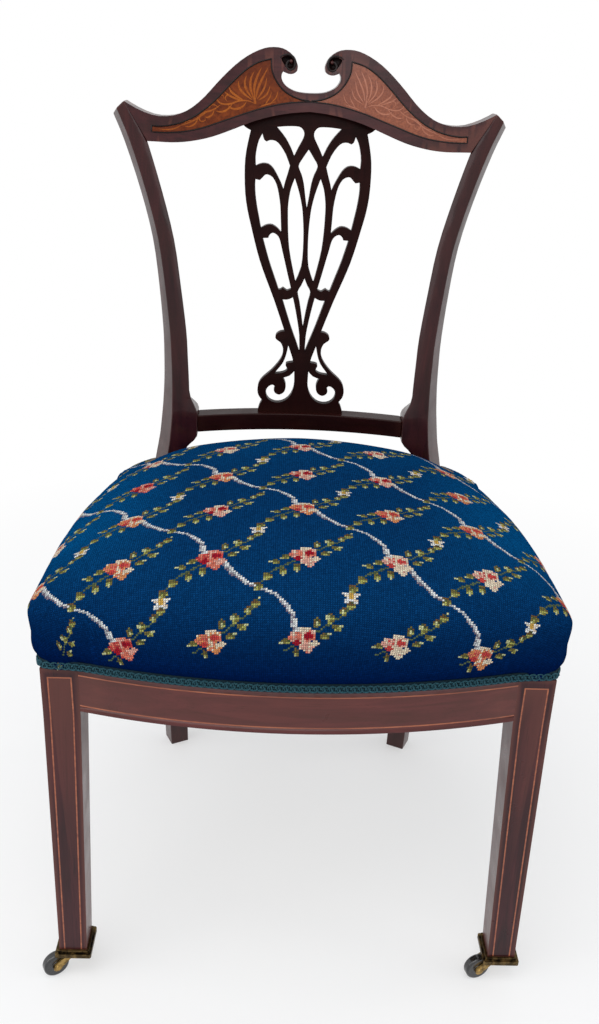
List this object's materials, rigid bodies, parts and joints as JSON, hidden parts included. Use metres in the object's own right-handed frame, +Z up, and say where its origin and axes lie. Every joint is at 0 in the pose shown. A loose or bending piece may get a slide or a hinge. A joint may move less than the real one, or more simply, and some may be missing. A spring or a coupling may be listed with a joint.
{
  "type": "dining chair",
  "caption": "Mahogany side chair with swan-neck crest, pierced tracery splat, sprung needlework seat, square tapered front legs on brass castors and raked rear legs.",
  "frame": {"origin": "on the floor, below the middle of the chair's bounding box", "axes": "+Z up, -Y towards where a sitter faces, +X to the viewer's right seen from the front"},
  "size_m": [0.5102, 0.5039, 0.9019],
  "materials": {
    "mahogany": "french polished, glossy, dark red-brown",
    "marquetry": "polished inlaid veneer, orange-brown ground with lighter leaf scrolls",
    "boxwood": "polished flush",
    "beech": "unfinished",
    "steel": "plain",
    "tack_iron": "blued",
    "spring_wire": "plain wire",
    "webbing": "woven jute",
    "hessian": "plain weave jute",
    "stuffing": "teased curled hair",
    "needlework": "wool tent stitch on canvas, blue ground with roses and ribbons",
    "gimp_braid": "looped scroll braid, dark teal",
    "brass": "cast, aged",
    "castor_tread": "smooth hard black composition"
  },
  "bodies": {
    "chair": {"crest_rail": "mahogany", "crest_panel_left": "marquetry", "crest_panel_right": "marquetry", "splat": "mahogany", "cross_rail": "mahogany", "rear_leg_left": "mahogany", "rear_leg_right": "mahogany", "front_leg_left": "mahogany", "front_leg_right": "mahogany", "front_rail": "mahogany", "side_rail_left": "mahogany", "side_rail_right": "mahogany", "rear_rail": "mahogany", "front_rail_stringing": "boxwood", "leg_stringing_left": "boxwood", "leg_stringing_right": "boxwood", "front_block_left": "beech", "front_block_right": "beech", "rear_block_left": "beech", "rear_block_right": "beech", "block_screws": "steel", "webbing_long": "webbing", "webbing_cross": "webbing", "webbing_tacks": "tack_iron", "seat_springs": "spring_wire", "hessian": "hessian", "stuffing": "stuffing", "seat_cover": "needlework", "gimp": "gimp_braid", "castor_plate_left": "brass", "castor_screws_left": "brass", "castor_pin_left": "brass", "castor_plate_right": "brass", "castor_screws_right": "brass", "castor_pin_right": "brass"},
    "fork_left": {"castor_fork_left": "brass", "castor_axle_left": "brass"},
    "wheel_left": {"castor_wheel_left": "castor_tread"},
    "fork_right": {"castor_fork_right": "brass", "castor_axle_right": "brass"},
    "wheel_right": {"castor_wheel_right": "castor_tread"}
  },
  "joints": [
    {"name": "castor_swivel_left", "type": "hinge", "parent": "chair", "child": "fork_left", "pos_m": [-0.22475, -0.19264, 0.0252], "axis": [0, 0, 1], "continuous": true},
    {"name": "wheel_roll_left", "type": "hinge", "parent": "fork_left", "child": "wheel_left", "pos_m": [-0.24468, -0.20509, 0.0136], "axis": [0.5299, -0.848, 0], "continuous": true},
    {"name": "castor_swivel_right", "type": "hinge", "parent": "chair", "child": "fork_right", "pos_m": [0.22475, -0.19264, 0.0252], "axis": [0, 0, 1], "continuous": true},
    {"name": "wheel_roll_right", "type": "hinge", "parent": "fork_right", "child": "wheel_right", "pos_m": [0.2024, -0.1999, 0.0136], "axis": [0.309, -0.9511, 0], "continuous": true}
  ]
}
